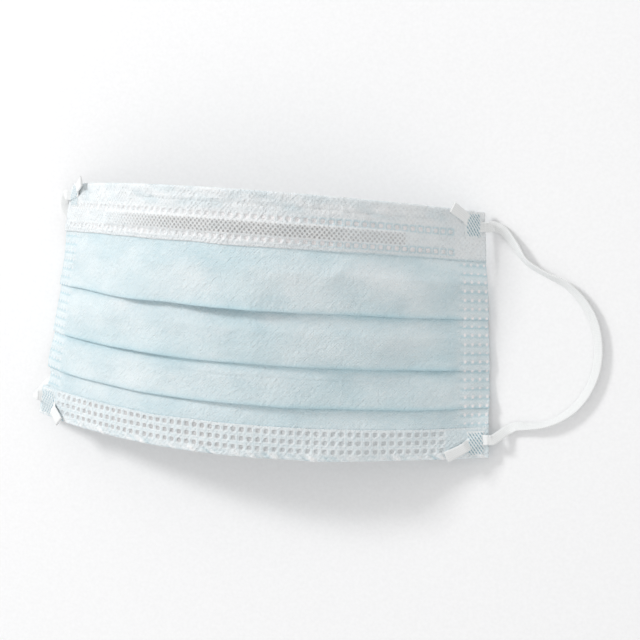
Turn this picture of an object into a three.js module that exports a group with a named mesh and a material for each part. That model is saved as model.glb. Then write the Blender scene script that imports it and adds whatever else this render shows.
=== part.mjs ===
// Pleated surgical face mask lying face up on a flat surface, arched across its width.
// A three-pleat panel is bound by a folded hem at the top and bottom, with a nose wire in the
// top hem and a flat elastic loop welded on the front of the corners at each side.
// Millimetres, +X along the width to the side whose loop lies spread, +Y towards the nose edge, +Z up.
import * as THREE from 'three';

// ---- Driving dimensions ----
const WIDTH = 175;              // along the cloth, side edge to side edge
const HEIGHT = 82.7;            // folded height at the side edges
const WALL = 1.0;               // cloth wall
const GAP = 0.3;                // clearance between layers and pieces
const TOP_HEM_DEPTH = 16.9;     // front wing of the top hem
const BOTTOM_HEM_DEPTH = 10.1;
const SEAM_WIDTH = 10;          // side welds that close the pleats
const PEAK_BOW = 2.6;           // how far the top edge rises at its middle, in the cloth
const CHIN_BOW = 5.0;           // how far the bottom edge drops at its middle
const CORNER_LIFT = 2.0;        // left corners stand clear of the elastic band that passes under
const CORNER_REACH = 24;        // how far along the width that lift fades out
const CORNER_RISE = { from: 10, to: 26 };     // distance from mid-height over which it sets in
const HEM_ROUND = { reach: 0.8, face: 0.9 }; // rounding of a hem's folded edge
const WIRE = { length: 115, width: 3.6, thickness: 1.0, across: 71.4 };
const POCKET = { shoulder: 0.6, foot: 1.8, fadeFrom: 1, fadeTo: 7 };  // bulge round the wire
const BAND = { width: 3.4, thickness: 1.0, ease: 0.3 };
const LOOP_LEAD = [0.45, 1.6];  // how far past the side edge a loop's first two points are

// Place of the cloth's flat reference surface in the part's frame.
const CENTRE = { x: 0.27, y: 0.99, rise: 2.47 };

// Slope of the arch along the width, as powers of s from -1 at the left edge to 1 at the right.
const ARCH = {
  top: { first: 1.18, second: -0.06, third: -0.40, fourth: 0.02 },
  bottom: { first: 0.78, second: 0.07, third: -0.35, fourth: -0.31 },
};

// Knife pleats from the nose down: height of the lip, depth of the hidden fold, and how far and
// where along s the lip gapes open.
const PLEATS = [
  { lip: 46.6, depth: 12.0, gape: 1.8, gapeAt: -0.15, gapeSpread: 0.45 },
  { lip: 29.6, depth: 10.5, gape: 0.6, gapeAt: -0.25, gapeSpread: 0.30 },
  { lip: 16.8, depth: 9.0, gape: 0.3, gapeAt: 0.10, gapeSpread: 0.50 },
];

const LAYER = WALL + GAP;                    // one layer of cloth and its gap
const STEP = 2 * LAYER;                      // rise of each strip from its start to its lip
const HEM_EDGE = HEIGHT - TOP_HEM_DEPTH;     // lower edge of the top hem's front wing
const FOLD_ROUND = 0.8;                      // length over which a fold's end is rounded
const LIP_EASE = 0.6;                        // rounding of a lip through its thickness
const HIDDEN_EASE = 0.5;                     // the same for the hidden fold
const NORMAL_STEP = 0.5;                     // spacing of the points that a normal is taken from
const STRIPS = PLEATS.length + 1;

// ---- The arched cloth surface ----
const ARCH_STEPS = 160;
const archCache = new Map();

/** Arch at one height of the cloth: x and z at even steps along the width, chord level. */
function archProfile(height) {
  const key = height.toFixed(4);
  if (archCache.has(key)) return archCache.get(key);
  const f = height / HEIGHT;
  const mix = (name) => THREE.MathUtils.lerp(ARCH.bottom[name], ARCH.top[name], f);
  const [a, b, c, d] = ['first', 'second', 'third', 'fourth'].map(mix);
  const x = [0];
  const z = [0];
  const ds = WIDTH / ARCH_STEPS;
  for (let i = 0; i < ARCH_STEPS; i++) {
    const s = (2 * (i + 0.5)) / ARCH_STEPS - 1;
    const slope = a * s + b * (s * s - 1 / 3) + c * s ** 3 + d * (s ** 4 - 0.2);
    x.push(x[i] + Math.cos(slope) * ds);
    z.push(z[i] - Math.sin(slope) * ds);
  }
  const turn = Math.atan2(z[ARCH_STEPS], x[ARCH_STEPS]);
  const half = Math.hypot(x[ARCH_STEPS], z[ARCH_STEPS]) / 2;
  const level = x.map((xi, i) => new THREE.Vector2(xi, z[i]).rotateAround(new THREE.Vector2(), -turn));
  const profile = level.map((p) => new THREE.Vector2(p.x - half, p.y));
  archCache.set(key, profile);
  return profile;
}

/** Point of the reference surface at u along the width and v up the folded height. */
function cloth(u, v) {
  const profile = archProfile(v);
  const step = (u / WIDTH) * ARCH_STEPS;
  const i = THREE.MathUtils.clamp(Math.floor(step), 0, ARCH_STEPS - 1);
  const p = profile[i].clone().lerp(profile[i + 1], step - i);
  const s = THREE.MathUtils.clamp((2 * u) / WIDTH - 1, -1, 1);
  const f = v / HEIGHT;
  const bow = (1 - s * s) * (PEAK_BOW * f - CHIN_BOW * (1 - f));
  const corner = THREE.MathUtils.smoothstep(Math.abs(v - HEIGHT / 2), CORNER_RISE.from, CORNER_RISE.to);
  const fade = Math.max(0, 1 - Math.max(u, 0) / CORNER_REACH) ** 2;
  return new THREE.Vector3(
    p.x + CENTRE.x,
    v - HEIGHT / 2 + bow + CENTRE.y,
    p.y + CENTRE.rise + CORNER_LIFT * corner * fade,
  );
}

/** Outward (front) normal of the reference surface. */
function clothNormal(u, v) {
  const h = NORMAL_STEP;
  const alongU = cloth(u + h, v).sub(cloth(u - h, v));
  const alongV = cloth(u, v + h).sub(cloth(u, v - h));
  return alongU.cross(alongV).normalize();
}

/** Point at height w off the reference surface. */
function clothPoint(u, v, w) {
  return cloth(u, v).addScaledVector(clothNormal(u, v), w);
}

// ---- Pleat section: heights of each strip's front face above the reference surface ----
const stripStart = (k) => (k === 0 ? HEM_EDGE : PLEATS[k - 1].lip);

/** Front face of strip k at height v, before its lip gapes; above its start it is the hidden back layer. */
function stripFace(k, v) {
  const start = stripStart(k);
  if (v > start) return k === 0 ? 0 : stripFace(k - 1, v) - STEP;
  return k === STRIPS - 1 ? 0 : (STEP * (start - v)) / (start - PLEATS[k].lip);
}

/** How far the folded edge of pleat k stands open at v and s. */
function gape(k, v, s) {
  const { lip, depth, gape: open, gapeAt, gapeSpread } = PLEATS[k];
  const up = THREE.MathUtils.clamp((v - lip) / (depth - FOLD_ROUND), 0, 1);
  return open * Math.exp(-(((s - gapeAt) / gapeSpread) ** 2)) * (1 - up) ** 2;
}

/** Front face of strip k where it overhangs its own pleat. */
const overhang = (k, v, s) => stripFace(k, v) + gape(k, v, s);

/** Evenly spaced heights from a to b, ends included. */
const spread = (a, b, n) => Array.from({ length: n + 1 }, (_, i) => a + ((b - a) * i) / n);

/** The panel's section at s: outer loop split into runs, and the two slits of each pleat. */
function panelSection(s) {
  const bottom = LAYER;
  const top = HEIGHT - LAYER;
  const outer = [];
  const mouths = new Set();
  const slits = [];
  const add = (v, w) => outer.push([v, w]) - 1;

  add(top, 0);
  add(HEM_EDGE, 0);
  PLEATS.forEach(({ lip, depth }, k) => {
    const folded = lip + depth - FOLD_ROUND;
    const rounded = lip + FOLD_ROUND;
    for (const v of spread(folded, rounded, 3)) add(v, overhang(k, v, s));
    add(lip, overhang(k, lip, s) - LIP_EASE);
    add(lip, overhang(k, lip, s) - 2 * WALL - GAP + LIP_EASE);
    const from = add(rounded, overhang(k, rounded, s) - 2 * WALL - GAP);
    const to = add(rounded, stripFace(k + 1, rounded));
    mouths.add(from);
    const end = lip + depth - WALL;
    const rising = spread(rounded, end, 3).slice(1).map((v) => [v, overhang(k, v, s) - 2 * WALL - GAP]);
    slits.push({ from, to, run: [...rising, [end, stripFace(k + 1, end)]] });
    if (k < PLEATS.length - 1) add(lip, stripFace(k + 1, lip));
  });
  add(PLEATS[PLEATS.length - 1].lip, 0);
  add(bottom, 0);
  add(bottom, -WALL);
  [...PLEATS.keys()].reverse().forEach((k) => {
    const { lip, depth } = PLEATS[k];
    const folded = lip + depth - FOLD_ROUND;
    add(lip, stripFace(k + 1, lip) - WALL);
    add(folded, stripFace(k + 1, folded) - WALL);
    add(lip + depth, stripFace(k + 1, lip + depth) - WALL + HIDDEN_EASE);
    add(lip + depth, stripFace(k, lip + depth) - LAYER - HIDDEN_EASE);
    const from = add(folded, stripFace(k, folded) - LAYER);
    const to = add(folded, stripFace(k, folded) - WALL);
    mouths.add(from);
    const end = lip + WALL;
    const down = spread(folded, end, 3).slice(1).map((v) => [v, overhang(k, v, s) - LAYER]);
    const up = spread(end, folded, 3).slice(0, -1).map((v) => [v, overhang(k, v, s) - WALL]);
    slits.push({ from, to, run: [...down, ...up] });
  });
  add(HEM_EDGE, -WALL);
  add(top, -WALL);
  return { outer, mouths, slits };
}

// ---- Meshes from sections ----

/** Collects quads and caps on shared vertices and returns a closed BufferGeometry. */
class Shell {
  constructor() {
    this.points = [];
    this.faces = [];
  }

  vertex(p) {
    return this.points.push(p.x, p.y, p.z) / 3 - 1;
  }

  quad(a, b, c, d) {
    this.faces.push(a, b, c, a, c, d);
  }

  /** Caps a planar ring in its own direction, or against it; flat holds its section coordinates. */
  cap(ring, flat, against) {
    const shape = flat.map(([v, w]) => new THREE.Vector2(v, w));
    const sense = Math.sign(THREE.ShapeUtils.area(shape));
    for (const [a, b, c] of THREE.ShapeUtils.triangulateShape(shape, [])) {
      const turned = Math.sign(THREE.ShapeUtils.area([shape[a], shape[b], shape[c]])) !== sense;
      if (turned !== against) this.faces.push(ring[a], ring[c], ring[b]);
      else this.faces.push(ring[a], ring[b], ring[c]);
    }
  }

  geometry() {
    const geometry = new THREE.BufferGeometry();
    geometry.setAttribute('position', new THREE.Float32BufferAttribute(this.points, 3));
    geometry.setIndex(this.faces);
    geometry.computeVertexNormals();
    return geometry;
  }
}

/** Sweeps a closed section [[v, w], ...] along the width; sectionAt(u) gives it at each station. */
function sweepWidth(stations, sectionAt) {
  const shell = new Shell();
  const sections = stations.map(sectionAt);
  const rings = stations.map((u, i) => sections[i].map(([v, w]) => shell.vertex(clothPoint(u, v, w))));
  for (let i = 0; i + 1 < rings.length; i++) {
    rings[i].forEach((a, j) => {
      const k = (j + 1) % rings[i].length;
      shell.quad(a, rings[i][k], rings[i + 1][k], rings[i + 1][j]);
    });
  }
  shell.cap(rings[0], sections[0], true);
  shell.cap(rings.at(-1), sections.at(-1), false);
  return shell.geometry();
}

/** Stations along the width: close ones over the side welds, even ones between. */
function widthStations(between) {
  const left = [0, SEAM_WIDTH / 2];
  const middle = spread(SEAM_WIDTH, WIDTH - SEAM_WIDTH, between);
  return [...left, ...middle, WIDTH - SEAM_WIDTH / 2, WIDTH];
}

const sAt = (u) => (2 * u) / WIDTH - 1;

/** The pleated panel: its slits are open between the side welds and closed in them. */
function pleatedPanel() {
  const stations = widthStations(18);
  const shell = new Shell();
  const sections = stations.map((u) => panelSection(sAt(u)));
  const isOpen = (u) => u >= SEAM_WIDTH - 1e-6 && u <= WIDTH - SEAM_WIDTH + 1e-6;
  const rings = sections.map(({ outer }, i) => outer.map(([v, w]) => shell.vertex(clothPoint(stations[i], v, w))));
  const runs = sections.map(({ slits }, i) => slits.map(({ run }) => (
    isOpen(stations[i]) ? run.map(([v, w]) => shell.vertex(clothPoint(stations[i], v, w))) : null)));
  for (let i = 0; i + 1 < stations.length; i++) {
    const open = isOpen(stations[i]) && isOpen(stations[i + 1]);
    const { mouths, slits } = sections[i];
    rings[i].forEach((a, j) => {
      if (open && mouths.has(j)) return;
      const k = (j + 1) % rings[i].length;
      shell.quad(a, rings[i][k], rings[i + 1][k], rings[i + 1][j]);
    });
    if (!open) continue;
    slits.forEach(({ from, to }, n) => {
      const near = [rings[i][from], ...runs[i][n], rings[i][to]];
      const far = [rings[i + 1][from], ...runs[i + 1][n], rings[i + 1][to]];
      for (let j = 0; j + 1 < near.length; j++) shell.quad(near[j], near[j + 1], far[j + 1], far[j]);
    });
  }
  // Ends of the slits, where the side welds begin.
  stations.forEach((u, i) => {
    const first = isOpen(u) && !isOpen(stations[i - 1] ?? -1);
    const last = isOpen(u) && !isOpen(stations[i + 1] ?? WIDTH + 1);
    if (!first && !last) return;
    sections[i].slits.forEach(({ from, to, run }, n) => {
      const ring = [rings[i][from], ...runs[i][n], rings[i][to]];
      const flat = [sections[i].outer[from], ...run, sections[i].outer[to]];
      shell.cap(ring, flat, first);
    });
  });
  shell.cap(rings[0], sections[0].outer, true);
  shell.cap(rings.at(-1), sections.at(-1).outer, false);
  return shell.geometry();
}

/** Height of the wire pocket's bulge in the top hem at u. */
function pocket(u) {
  const beyond = Math.abs(u - WIDTH / 2) - WIRE.length / 2;
  return (WIRE.thickness + GAP) * (1 - THREE.MathUtils.smoothstep(beyond, POCKET.fadeFrom, POCKET.fadeTo));
}

/** Top hem: a U of cloth over the nose edge, its front wing bulging over the nose wire. */
function topHemSection(u) {
  const rise = pocket(u);
  const inner = HEIGHT - WALL;
  const half = WIRE.width / 2;
  const bulge = [[WIRE.across + half + POCKET.foot, 0], [WIRE.across + half + POCKET.shoulder, rise],
    [WIRE.across - half - POCKET.shoulder, rise], [WIRE.across - half - POCKET.foot, 0]];
  const under = bulge.map(([v, w]) => [v, w + GAP]);
  const over = bulge.map(([v, w]) => [v, w + LAYER]);
  return [
    [HEIGHT - HEM_ROUND.reach, LAYER], ...over, [HEM_EDGE, LAYER],
    [HEM_EDGE, GAP], ...under.reverse(), [inner, GAP],
    [inner, -LAYER], [HEM_EDGE, -LAYER], [HEM_EDGE, -LAYER - WALL],
    [HEIGHT - HEM_ROUND.reach, -LAYER - WALL], [HEIGHT, -LAYER - WALL + HEM_ROUND.face],
    [HEIGHT, LAYER - HEM_ROUND.face],
  ];
}

/** Bottom hem: a U of cloth round the chin edge. */
function bottomHemSection() {
  const inner = WALL;
  return [
    [BOTTOM_HEM_DEPTH, LAYER], [HEM_ROUND.reach, LAYER], [0, LAYER - HEM_ROUND.face],
    [0, -LAYER - WALL + HEM_ROUND.face], [HEM_ROUND.reach, -LAYER - WALL],
    [BOTTOM_HEM_DEPTH, -LAYER - WALL], [BOTTOM_HEM_DEPTH, -LAYER], [inner, -LAYER], [inner, GAP],
    [BOTTOM_HEM_DEPTH, GAP],
  ];
}

function noseWireSection() {
  const half = WIRE.width / 2;
  const low = GAP;
  const high = GAP + WIRE.thickness;
  return [[WIRE.across + half, high], [WIRE.across - half, high], [WIRE.across - half, low],
    [WIRE.across + half, low]];
}

// ---- Elastic bands ----

/** Flat band with an eight-sided section along frames of centre, tangent and face normal. */
function bandGeometry(frames) {
  const shell = new Shell();
  const w = BAND.width / 2;
  const t = BAND.thickness / 2;
  const { ease } = BAND;
  const section = [[w, -t + ease], [w, t - ease], [w - ease, t], [-w + ease, t], [-w, t - ease], [-w, -t + ease],
    [-w + ease, -t], [w - ease, -t]];
  const rings = frames.map(({ centre, tangent, normal }) => {
    const across = new THREE.Vector3().crossVectors(normal, tangent).normalize();
    return section.map(([a, b]) => shell.vertex(
      centre.clone().addScaledVector(across, a).addScaledVector(normal, b)));
  });
  for (let i = 0; i + 1 < rings.length; i++) {
    rings[i].forEach((a, j) => {
      const k = (j + 1) % section.length;
      shell.quad(a, rings[i][k], rings[i + 1][k], rings[i + 1][j]);
    });
  }
  shell.cap(rings[0], section, true);
  shell.cap(rings.at(-1), section, false);
  return shell.geometry();
}

/** Frames along a smooth curve through points, each leaning by its tilt from face up. */
function bandFrames(points, tilts, steps) {
  const curve = new THREE.CatmullRomCurve3(points, false, 'centripetal');
  return spread(0, 1, steps).map((t) => {
    const tangent = curve.getTangent(t);
    const normal = new THREE.Vector3(0, 0, 1).addScaledVector(tangent, -tangent.z).normalize();
    const place = t * (tilts.length - 1);
    const i = Math.min(Math.floor(place), tilts.length - 2);
    const tilt = THREE.MathUtils.lerp(tilts[i], tilts[i + 1], place - i);
    normal.applyAxisAngle(tangent, THREE.MathUtils.degToRad(tilt));
    return { centre: curve.getPoint(t), tangent, normal };
  });
}

// Welded ends on the front of the corners, from the loose tail's tip to the side edge.
const WELDS = {
  top_right: [{ u: 161.3, v: 83.2, lift: 0.9 }, { u: 165.6, v: 81.0, lift: 0.2 }, { u: 169.6, v: 78.6, lift: 0 },
    { u: 172.6, v: 77.7, lift: 0 }, { u: 174.4, v: 77.6, lift: 0 }],
  bottom_right: [{ u: 160.2, v: 0.9, lift: 0.3 }, { u: 164.6, v: 2.7, lift: 0 }, { u: 169, v: 4.9, lift: 0 },
    { u: 172.6, v: 5.9, lift: 0 }, { u: 174.4, v: 6.0, lift: 0 }],
  top_left: [{ u: 12.6, v: 83.4, lift: 0.9 }, { u: 9.2, v: 81.6, lift: 0.2 }, { u: 5.4, v: 79.4, lift: 0 },
    { u: 2.4, v: 78.6, lift: 0 }, { u: 0.6, v: 78.5, lift: 0 }],
  bottom_left: [{ u: 14.2, v: -0.2, lift: 0.5 }, { u: 10.2, v: 2.6, lift: 0.1 }, { u: 5.8, v: 5.2, lift: 0 },
    { u: 2.4, v: 6.1, lift: 0 }, { u: 0.6, v: 6.2, lift: 0 }],
};
const WELD_HEIGHT = LAYER + GAP + BAND.thickness / 2;     // band's centre over the hem's front

function weldedEnd(name) {
  const points = WELDS[name].map(({ u, v, lift }) => clothPoint(u, v, WELD_HEIGHT + lift));
  const curve = new THREE.CatmullRomCurve3(points, false, 'centripetal');
  const last = WELDS[name].at(-1);
  const first = WELDS[name][0];
  const frames = spread(0, 1, 6).map((t) => {
    const tangent = curve.getTangent(t);
    const u = THREE.MathUtils.lerp(first.u, last.u, t);
    const v = THREE.MathUtils.lerp(first.v, last.v, t);
    const normal = clothNormal(u, v);
    normal.addScaledVector(tangent, -normal.dot(tangent)).normalize();
    return { centre: curve.getPoint(t), tangent, normal };
  });
  return bandGeometry(frames);
}

// Free spans of the ear loops: centre line over the ground from the top corner to the bottom one,
// with the height of the band's underside and its lean.
const RIGHT_LOOP = [
  { x: 78.9, y: 37.9, under: 1.2, tilt: 0 },
  { x: 81.9, y: 36.6, under: 0.1, tilt: 10 },
  { x: 86.3, y: 32.2, under: 0.1, tilt: 35 },
  { x: 90.7, y: 26.9, under: 0.1, tilt: 55 },
  { x: 97.9, y: 23.0, under: 0.1, tilt: 60 },
  { x: 104.7, y: 20.2, under: 0.1, tilt: 45 },
  { x: 110.3, y: 15.6, under: 0.1, tilt: 30 },
  { x: 114.9, y: 9.2, under: 0.1, tilt: 25 },
  { x: 117.3, y: 1.0, under: 0.1, tilt: 25 },
  { x: 117.3, y: -7.4, under: 0.1, tilt: 25 },
  { x: 115.1, y: -14.6, under: 0.1, tilt: 30 },
  { x: 111.3, y: -20.6, under: 0.1, tilt: 35 },
  { x: 106.5, y: -24.8, under: 0.1, tilt: 45 },
  { x: 101.5, y: -27.4, under: 0.1, tilt: 55 },
  { x: 96.3, y: -28.6, under: 0.1, tilt: 50 },
  { x: 91.3, y: -29.2, under: 0.1, tilt: 30 },
  { x: 88.3, y: -30.8, under: 0.3, tilt: 10 },
];
const LEFT_LOOP = [
  { x: -78.9, y: 37.2, under: 0.9, tilt: 0 },
  { x: -79.3, y: 34.6, under: 0.1, tilt: 0 },
  { x: -77.1, y: 31.2, under: 0.1, tilt: 0 },
  { x: -72.7, y: 28.8, under: 0.1, tilt: 0 },
  { x: -65.7, y: 26.6, under: 0.1, tilt: 0 },
  { x: -58.7, y: 22.8, under: 0.1, tilt: 0 },
  { x: -53.3, y: 16.6, under: 0.1, tilt: 0 },
  { x: -50.3, y: 8.6, under: 0.1, tilt: 0 },
  { x: -49.7, y: 0.0, under: 0.1, tilt: 0 },
  { x: -51.7, y: -8.6, under: 0.1, tilt: 0 },
  { x: -56.3, y: -16.0, under: 0.1, tilt: 0 },
  { x: -62.7, y: -21.4, under: 0.1, tilt: 0 },
  { x: -70.3, y: -24.8, under: 0.1, tilt: 0 },
  { x: -77.7, y: -27.0, under: 0.1, tilt: 0 },
  { x: -83.3, y: -29.0, under: 0.1, tilt: 0 },
  { x: -85.3, y: -31.8, under: 0.3, tilt: 0 },
];

function earLoop(route, topWeld, bottomWeld) {
  const lead = (weld) => {
    const { u, v } = WELDS[weld].at(-1);
    const out = u > WIDTH / 2 ? 1 : -1;
    return LOOP_LEAD.map((past) => clothPoint(u + out * past, v, WELD_HEIGHT));
  };
  const laid = route.map(({ x, y, under, tilt }) => {
    const lean = THREE.MathUtils.degToRad(Math.abs(tilt));
    const half = (BAND.width * Math.sin(lean) + BAND.thickness * Math.cos(lean)) / 2;
    return new THREE.Vector3(x, y, under + half);
  });
  const points = [...lead(topWeld), ...laid, ...lead(bottomWeld).reverse()];
  const tilts = [0, 0, ...route.map(({ tilt }) => tilt), 0, 0];
  return bandGeometry(bandFrames(points, tilts, 72));
}

// ---- The object ----
const FINISH = {
  panel: new THREE.MeshStandardMaterial({ color: 0xc4d6db, roughness: 0.85, metalness: 0, side: THREE.DoubleSide }),
  hem: new THREE.MeshStandardMaterial({ color: 0xe2e9ec, roughness: 0.85, metalness: 0 }),
  wire: new THREE.MeshStandardMaterial({ color: 0xb9b6b0, roughness: 0.5, metalness: 0.2 }),
  elastic: new THREE.MeshStandardMaterial({ color: 0xf2f2f0, roughness: 0.8, metalness: 0 }),
};

const mask = new THREE.Group();

function addPiece(name, geometry, material) {
  const mesh = new THREE.Mesh(geometry, material);
  mesh.name = name;
  mask.add(mesh);
}

addPiece('pleated_panel', pleatedPanel(), FINISH.panel);
addPiece('top_hem', sweepWidth(widthStations(22), topHemSection), FINISH.hem);
addPiece('bottom_hem', sweepWidth(widthStations(18), bottomHemSection), FINISH.hem);
const wireEnd = (WIDTH - WIRE.length) / 2;
addPiece('nose_wire', sweepWidth(spread(wireEnd, WIDTH - wireEnd, 16), noseWireSection), FINISH.wire);
for (const corner of Object.keys(WELDS)) addPiece(`loop_end_${corner}`, weldedEnd(corner), FINISH.elastic);
addPiece('ear_loop_right', earLoop(RIGHT_LOOP, 'top_right', 'bottom_right'), FINISH.elastic);
addPiece('ear_loop_left', earLoop(LEFT_LOOP, 'top_left', 'bottom_left'), FINISH.elastic);

export default mask;
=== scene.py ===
"""Pleated surgical face mask, lying face up and arched across its width.

One thin sheet of layered cloth is folded into three knife pleats and bound by two
folded hems. A flat wire lies in the upper hem, and a flat elastic loop is welded on
the front of the corners at each side. Lengths are in millimetres until a point is
placed, and u runs along the width while v runs up the folded height.
"""
import logging
import math
from dataclasses import dataclass, field
from enum import Enum
from typing import Callable, Optional, Sequence

import bmesh
import bpy
import numpy as np
from mathutils import Matrix, Vector, noise


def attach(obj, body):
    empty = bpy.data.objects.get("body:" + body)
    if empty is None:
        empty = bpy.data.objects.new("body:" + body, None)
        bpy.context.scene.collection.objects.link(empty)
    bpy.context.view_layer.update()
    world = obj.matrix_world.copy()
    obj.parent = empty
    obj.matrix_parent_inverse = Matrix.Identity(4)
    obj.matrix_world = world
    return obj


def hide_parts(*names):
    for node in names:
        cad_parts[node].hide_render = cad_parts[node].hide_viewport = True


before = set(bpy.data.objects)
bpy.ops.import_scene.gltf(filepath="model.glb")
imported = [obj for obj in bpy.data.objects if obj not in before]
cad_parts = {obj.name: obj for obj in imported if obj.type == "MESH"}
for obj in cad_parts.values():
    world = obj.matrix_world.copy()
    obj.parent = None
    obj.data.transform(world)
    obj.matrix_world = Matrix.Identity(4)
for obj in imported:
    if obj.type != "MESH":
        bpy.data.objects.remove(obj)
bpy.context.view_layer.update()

LOG = logging.getLogger("face_mask")
MM = 0.001
UV_SIZE = 175.0  # millimetres of cloth in one unit of the UV map

Array = np.ndarray
Marks = dict[str, Array]
Socket = bpy.types.NodeSocket
Triple = tuple[float, float, float]
Colour = Triple


# ---- Helpers for smooth functions --------------------------------------------------


def smoothstep(x: Array, low: float, high: float) -> Array:
    """Eases from 0 at low to 1 at high.

    Args:
        x: Values to ease.
        low: Where the step starts.
        high: Where the step ends.

    Returns:
        The eased values.
    """
    t = np.clip((np.asarray(x, float) - low) / (high - low), 0.0, 1.0)
    return t * t * (3.0 - 2.0 * t)


def bump(x: Array, centre: float, spread: float) -> Array:
    """Bell curve of height 1 about a centre."""
    return np.exp(-(((np.asarray(x, float) - centre) / spread) ** 2))


def rumple(u: Array, v: Array, size_u: float, size_v: float, seed: float) -> Array:
    """Smooth random field over the cloth.

    Args:
        u: Places along the width.
        v: Places up the height.
        size_u: Length of a wave along the width.
        size_v: Length of a wave up the height.
        seed: Picks one field of many.

    Returns:
        Values from about -1 to 1.
    """
    flat_u, flat_v = np.broadcast_arrays(np.asarray(u, float), np.asarray(v, float))
    values = [
        noise.noise(Vector((a / size_u, b / size_v, seed)))
        for a, b in zip(flat_u.ravel().tolist(), flat_v.ravel().tolist())
    ]
    return np.array(values).reshape(flat_u.shape)


def steps(start: float, end: float, longest: float) -> list[float]:
    """Even places from start to end, both included, no further apart than longest."""
    count = max(1, math.ceil(abs(end - start) / longest))
    return [start + (end - start) * i / count for i in range(count + 1)]


def ripple(u: Array, size: float, seed: float) -> Array:
    """Smooth random line along the width, from about -1 to 1."""
    return rumple(u, u * 0, size, size, seed)


@dataclass(frozen=True)
class Wave:
    """One smooth random wave over the cloth, leaning from the height."""

    amount: float
    lean: float
    size_u: float
    size_v: float
    seed: float

    def at(self, u: Array, v: Array) -> Array:
        """The wave at places of the cloth."""
        return self.amount * rumple(u + self.lean * v, v, self.size_u, self.size_v, self.seed)


@dataclass(frozen=True)
class Mound:
    """One soft mound, or one patch of painted highlight, at a place of the cloth, leaning from the
    height.
    """

    amount: float
    u: float
    spread_u: float
    v: float
    spread_v: float
    lean: float = 0.0

    def at(self, u: Array, v: Array) -> Array:
        """The mound at places of the cloth."""
        along = bump(u + self.lean * v, self.u, self.spread_u)
        return self.amount * along * bump(v, self.v, self.spread_v)


# ---- The arched surface that every piece follows -----------------------------------


@dataclass(frozen=True)
class ArchBend:
    """Slope of the arch as powers of s, which runs from -1 at the left edge to 1."""

    first: float
    second: float
    third: float
    fourth: float

    def slope(self, s: Array) -> Array:
        """Slope at s, in radians, falling to both sides."""
        return (
            self.first * s
            + self.second * (s * s - 1 / 3)
            + self.third * s**3
            + self.fourth * (s**4 - 0.2)
        )


@dataclass
class ClothForm:
    """The unpleated surface of the mask, arched along its width."""

    width: float = 175.0
    height: float = 82.7
    peak_bow: float = 2.6
    chin_bow: float = 5.0
    corner_lift: float = 2.0
    corner_reach: float = 24.0
    corner_rise: tuple[float, float] = (10.0, 26.0)
    normal_step: float = 0.5
    centre: tuple[float, float, float] = (0.27, 0.99, 2.47)
    top: ArchBend = ArchBend(1.18, -0.06, -0.40, 0.02)
    bottom: ArchBend = ArchBend(0.78, 0.07, -0.35, -0.31)
    across: int = 160
    levels: Array = field(default_factory=lambda: np.linspace(-8.0, 92.0, 51))

    def __post_init__(self) -> None:
        """Works out the arch at each level once."""
        s = 2 * (np.arange(self.across) + 0.5) / self.across - 1
        share = (self.levels / self.height)[:, None]
        slope = self.bottom.slope(s) * (1 - share) + self.top.slope(s) * share
        run = self.width / self.across
        start = np.zeros((len(self.levels), 1))
        x = np.hstack([start, np.cumsum(np.cos(slope) * run, axis=1)])
        z = np.hstack([start, np.cumsum(-np.sin(slope) * run, axis=1)])
        turn = np.arctan2(z[:, -1:], x[:, -1:])
        self._x = x * np.cos(turn) + z * np.sin(turn) - np.hypot(x[:, -1:], z[:, -1:]) / 2
        self._z = z * np.cos(turn) - x * np.sin(turn)

    def _surface(self, u: Array, v: Array) -> Array:
        """Points of the surface, in millimetres."""
        step = u / self.width * self.across
        i = np.clip(np.floor(step), 0, self.across - 1).astype(int)
        fu = step - i
        level = (v - self.levels[0]) / (self.levels[1] - self.levels[0])
        j = np.clip(np.floor(level), 0, len(self.levels) - 2).astype(int)
        fv = level - j

        def mixed(table: Array) -> Array:
            """Value of a table between its levels and columns."""
            low = table[j, i] * (1 - fu) + table[j, i + 1] * fu
            high = table[j + 1, i] * (1 - fu) + table[j + 1, i + 1] * fu
            return low * (1 - fv) + high * fv

        s = np.clip(2 * u / self.width - 1, -1, 1)
        share = v / self.height
        bow = (1 - s * s) * (self.peak_bow * share - self.chin_bow * (1 - share))
        corner = smoothstep(np.abs(v - self.height / 2), *self.corner_rise)
        fade = np.clip(1 - np.maximum(u, 0) / self.corner_reach, 0, None) ** 2
        return np.stack(
            [
                mixed(self._x) + self.centre[0],
                v - self.height / 2 + bow + self.centre[1],
                mixed(self._z) + self.centre[2] + self.corner_lift * corner * fade,
            ],
            axis=-1,
        )

    def normals(self, u: Array, v: Array) -> Array:
        """Outward directions of the surface."""
        h = self.normal_step
        along_u = self._surface(u + h, v) - self._surface(u - h, v)
        along_v = self._surface(u, v + h) - self._surface(u, v - h)
        out = np.cross(along_u, along_v)
        return out / np.linalg.norm(out, axis=-1, keepdims=True)

    def points(self, u: Array, v: Array, w: Array) -> Array:
        """Points at height w off the surface.

        Args:
            u: Places along the width, in millimetres.
            v: Places up the height, in millimetres.
            w: Heights off the surface, in millimetres.

        Returns:
            Points in metres, one row each.
        """
        u, v, w = (np.asarray(a, float) for a in np.broadcast_arrays(u, v, w))
        return (self._surface(u, v) + self.normals(u, v) * w[..., None]) * MM

    def point(self, u: float, v: float, w: float) -> Vector:
        """One point at height w off the surface, in metres."""
        return Vector(self.points(np.array([u]), np.array([v]), np.array([w]))[0])

    def normal(self, u: float, v: float) -> Vector:
        """Outward direction at one place."""
        return Vector(self.normals(np.array([u]), np.array([v]))[0])


# ---- Meshes ------------------------------------------------------------------------


def keep(piece: bpy.types.Object, slot: str, *nodes: str) -> bpy.types.Object:
    """Makes a piece ride on the part and hides the CAD nodes that it stands for."""
    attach(piece, "root")
    if nodes:
        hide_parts(*nodes)
    LOG.info("%s: %d faces", piece.name, len(piece.data.polygons))
    return piece


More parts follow.
